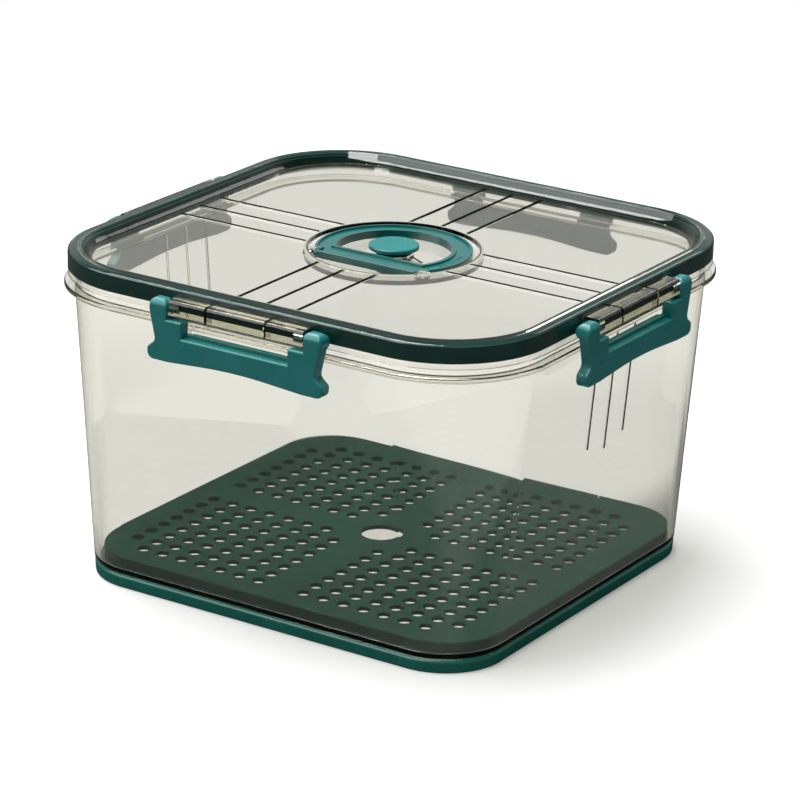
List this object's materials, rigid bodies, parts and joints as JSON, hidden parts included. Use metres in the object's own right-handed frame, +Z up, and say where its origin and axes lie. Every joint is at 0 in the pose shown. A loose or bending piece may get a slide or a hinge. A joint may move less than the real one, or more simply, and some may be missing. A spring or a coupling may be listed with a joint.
{
  "type": "airtight food storage container",
  "caption": "Clear airtight food container with a drain tray, a sealed lid held by side latches, a folding handle ring, a vent knob and a foot ring.",
  "frame": {"origin": "on the ground under the middle of the container", "axes": "+Z up, -Y toward the front latch, +X to the right of it; the handle ring hinges along its front edge"},
  "size_m": [0.2676, 0.2586, 0.1608],
  "materials": {
    "clear_smoke": "clear moulded plastic with a warm smoke tint",
    "base_green": "moulded plastic, dark green",
    "tray_green": "fine satin moulded plastic, dark green",
    "seal_dark_green": "soft silicone, dark green",
    "latch_green": "satin moulded plastic, teal green"
  },
  "bodies": {
    "bin": {"bin_body": "clear_smoke", "foot_ring": "base_green"},
    "tray": {"drain_tray": "tray_green"},
    "lid": {"lid_shell": "clear_smoke", "lid_seal": "seal_dark_green"},
    "latch_front": {"latch_front": "latch_green"},
    "latch_back": {"latch_back": "latch_green"},
    "latch_left": {"latch_left": "latch_green"},
    "latch_right": {"latch_right": "latch_green"},
    "handle": {"handle_ring": "latch_green"},
    "vent": {"vent_knob": "latch_green", "vent_washer": "seal_dark_green", "vent_clip": "latch_green"}
  },
  "joints": [
    {"name": "tray_lift", "type": "slide", "parent": "bin", "child": "tray", "axis": [0, 0, 1], "range_m": [0, 0.12]},
    {"name": "lid_lift", "type": "slide", "parent": "bin", "child": "lid", "axis": [0, 0, 1], "range_m": [0, 0.16]},
    {"name": "latch_front_hinge", "type": "hinge", "parent": "lid", "child": "latch_front", "pos_m": [0, -0.1255, 0.153], "axis": [-1, 0, 0], "range_deg": [-5, 170]},
    {"name": "latch_back_hinge", "type": "hinge", "parent": "lid", "child": "latch_back", "pos_m": [0, 0.1255, 0.153], "axis": [1, 0, 0], "range_deg": [-5, 170]},
    {"name": "latch_left_hinge", "type": "hinge", "parent": "lid", "child": "latch_left", "pos_m": [-0.13, 0, 0.153], "axis": [0, 1, 0], "range_deg": [-5, 170]},
    {"name": "latch_right_hinge", "type": "hinge", "parent": "lid", "child": "latch_right", "pos_m": [0.13, 0, 0.153], "axis": [0, -1, 0], "range_deg": [-5, 170]},
    {"name": "handle_hinge", "type": "hinge", "parent": "lid", "child": "handle", "pos_m": [0, -0.024, 0.154], "axis": [1, 0, 0], "range_deg": [0, 95]},
    {"name": "vent_pull", "type": "slide", "parent": "lid", "child": "vent", "axis": [0, 0, 1], "range_m": [0, 0.0035]}
  ]
}
